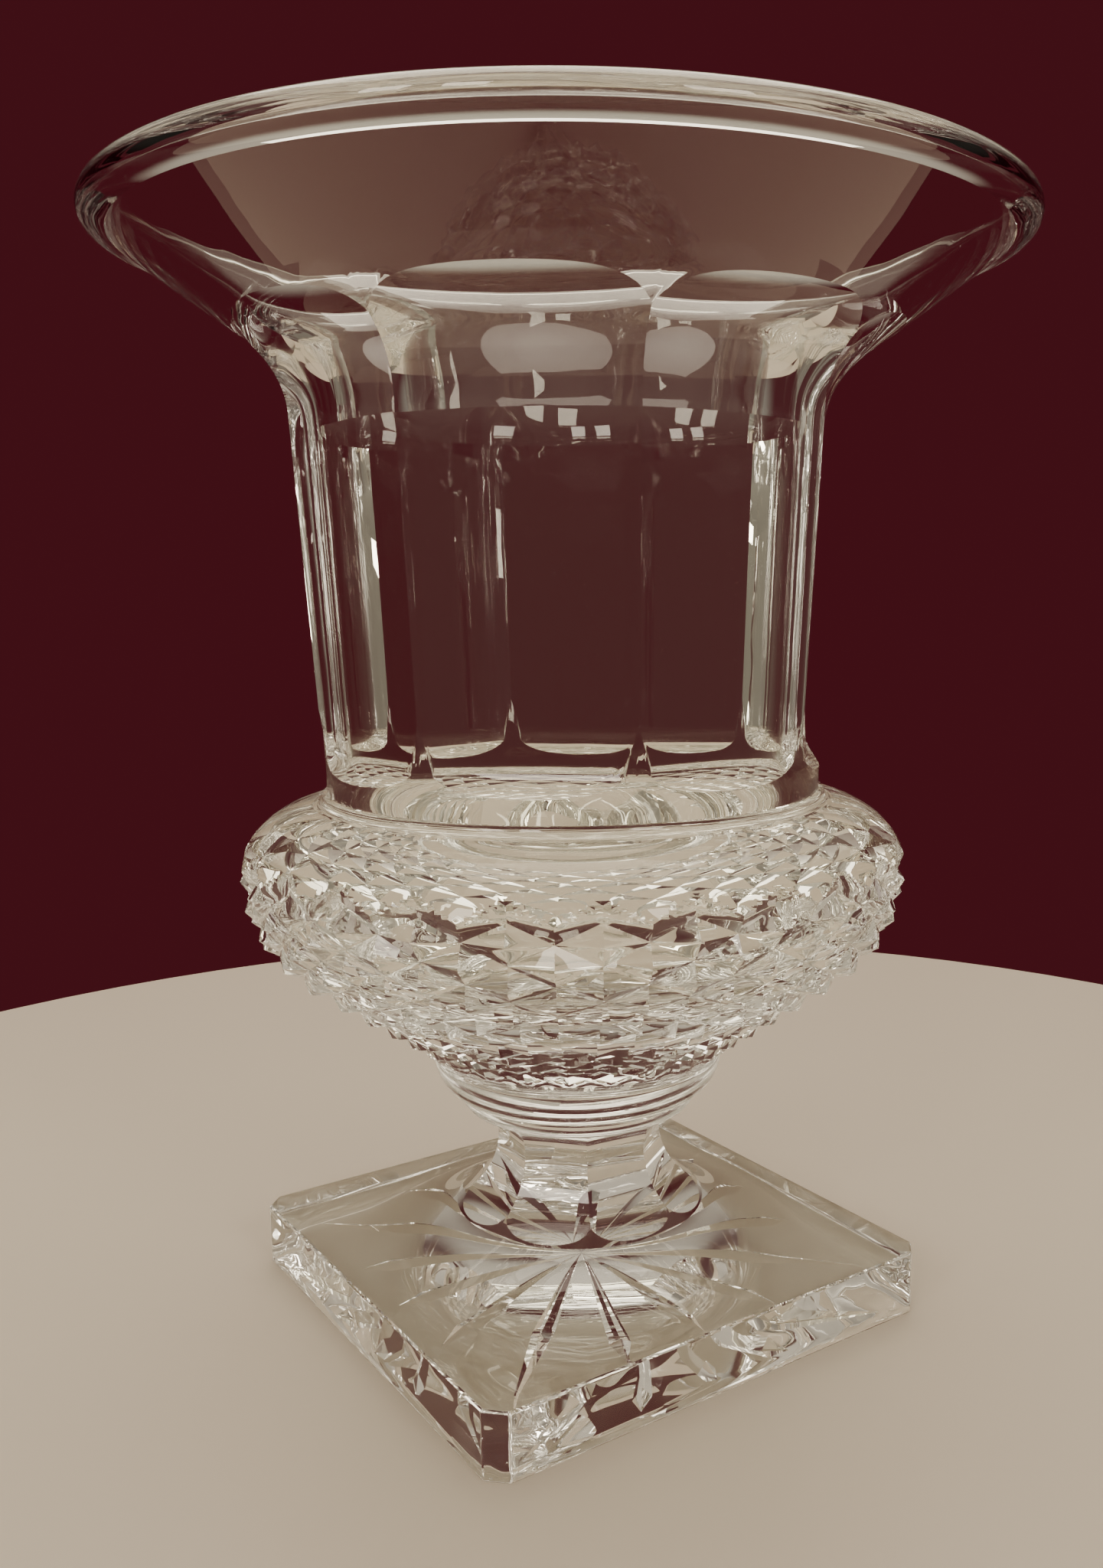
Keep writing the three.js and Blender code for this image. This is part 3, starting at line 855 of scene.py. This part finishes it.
@dataclass
class Studio:
    """Pale round floor, plain surroundings, soft lights and the photograph's camera."""

    camera_azimuth: float = -32.87
    distance: float = 324.7
    eye_height: float = 174.7
    yaw: float = 0.0434
    pitch: float = -0.1974
    roll: float = -0.0053
    focal_px: float = 1825.6
    centre_px: Span = (109.1, 89.8)
    picture_px: tuple[int, int] = (1441, 2048)
    floor_radius: float = 333.0
    floor_colour: Colour = (0.66, 0.58, 0.48)
    bounces: int = 20

    def camera(self) -> None:
        """Places the camera.

        Forward is (sin yaw, cos yaw, 0) tipped by pitch, right and up are rolled about it, and
        all of it turns about Z to the camera's azimuth.
        """
        forward = Vector((math.sin(self.yaw), math.cos(self.yaw), 0.0))
        right = Vector((math.cos(self.yaw), -math.sin(self.yaw), 0.0))
        up = Vector((0.0, 0.0, 1.0))
        view = math.cos(self.pitch) * forward + math.sin(self.pitch) * up
        rise = math.cos(self.pitch) * up - math.sin(self.pitch) * forward
        across = math.cos(self.roll) * right + math.sin(self.roll) * rise
        above = math.cos(self.roll) * rise - math.sin(self.roll) * right
        frame = Matrix((across, above, -view)).transposed().to_4x4()
        frame.translation = Vector((0.0, -self.distance, self.eye_height)) * MM
        data = bpy.data.cameras.new("camera")
        long_side = max(self.picture_px)
        data.lens = self.focal_px / long_side * data.sensor_width
        data.shift_x = -self.centre_px[0] / long_side
        data.shift_y = self.centre_px[1] / long_side
        data.clip_start, data.clip_end = 0.01, 50.0
        camera = bpy.data.objects.new("camera", data)
        camera.matrix_world = Matrix.Rotation(math.radians(self.camera_azimuth), 4, "Z") @ frame
        bpy.context.scene.collection.objects.link(camera)
        bpy.context.scene.camera = camera

    def floor(self) -> bpy.types.Object:
        """A round pale table top, a hair under the foot."""
        hair = 0.02
        azimuths = np.arange(96) * TURN / 96
        skin = Skin()
        skin.disc(spin(azimuths, self.floor_radius, -hair), True, Face.POLISHED)
        made = skin.piece("floor", 30.0)
        material = bpy.data.materials.new("pale_floor")
        material.use_nodes = True
        shader = material.node_tree.nodes["Principled BSDF"]
        shader.inputs["Base Color"].default_value = (*self.floor_colour, 1.0)
        shader.inputs["Roughness"].default_value = 0.4
        made.data.materials.append(material)
        return made

    def deepen(self) -> None:
        """Lets light bounce often enough to find its way out of the cut glass."""
        cycles = bpy.context.scene.cycles
        cycles.max_bounces = self.bounces
        cycles.glossy_bounces = self.bounces
        cycles.transmission_bounces = self.bounces

    def build(self) -> None:
        """Sets up the whole studio."""
        self.camera()
        self.deepen()
        self.floor()
        Surroundings(facing=self.camera_azimuth + 180.0).build()
        front, back = self.camera_azimuth, self.camera_azimuth + 180.0
        SoftLight("overhead", back, 250.0, 900.0, (700.0, 700.0), 5.0).build()
        SoftLight("left_pane", front - 37.0, 1200.0, 700.0, (200.0, 400.0), 3.0).build()
        SoftLight("middle_pane", front - 20.0, 1200.0, 700.0, (200.0, 400.0), 3.0).build()
        SoftLight("right_pane", front + 32.0, 1200.0, 700.0, (300.0, 400.0), 4.0).build()


def main() -> None:
    """Loads the frame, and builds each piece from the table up."""
    logging.basicConfig(level=logging.INFO, format="%(name)s: %(message)s")
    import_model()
    Studio().build()

    joint = FusedJoint()
    foot = Foot()
    dress(foot.build(), "foot", CutGlass("foot_glass"), joint)
    stem = Stem(foot)
    dress(stem.build(), "stem", CutGlass("stem_glass"), joint)
    collar = Collar(stem, columns=2 * Bowl.diamonds * Bowl.cell_steps, turn=Bowl.diamond_turn)
    dress(collar.build(), "knop_collar", CutGlass("knop_collar_glass"), joint)
    bowl = Bowl(seat=collar.top)
    dress(bowl.build(), "bowl", CutGlass("bowl_glass"), joint, CutGlass("bowl_hollow", ior=1.14))


if __name__ == "__main__":
    main()
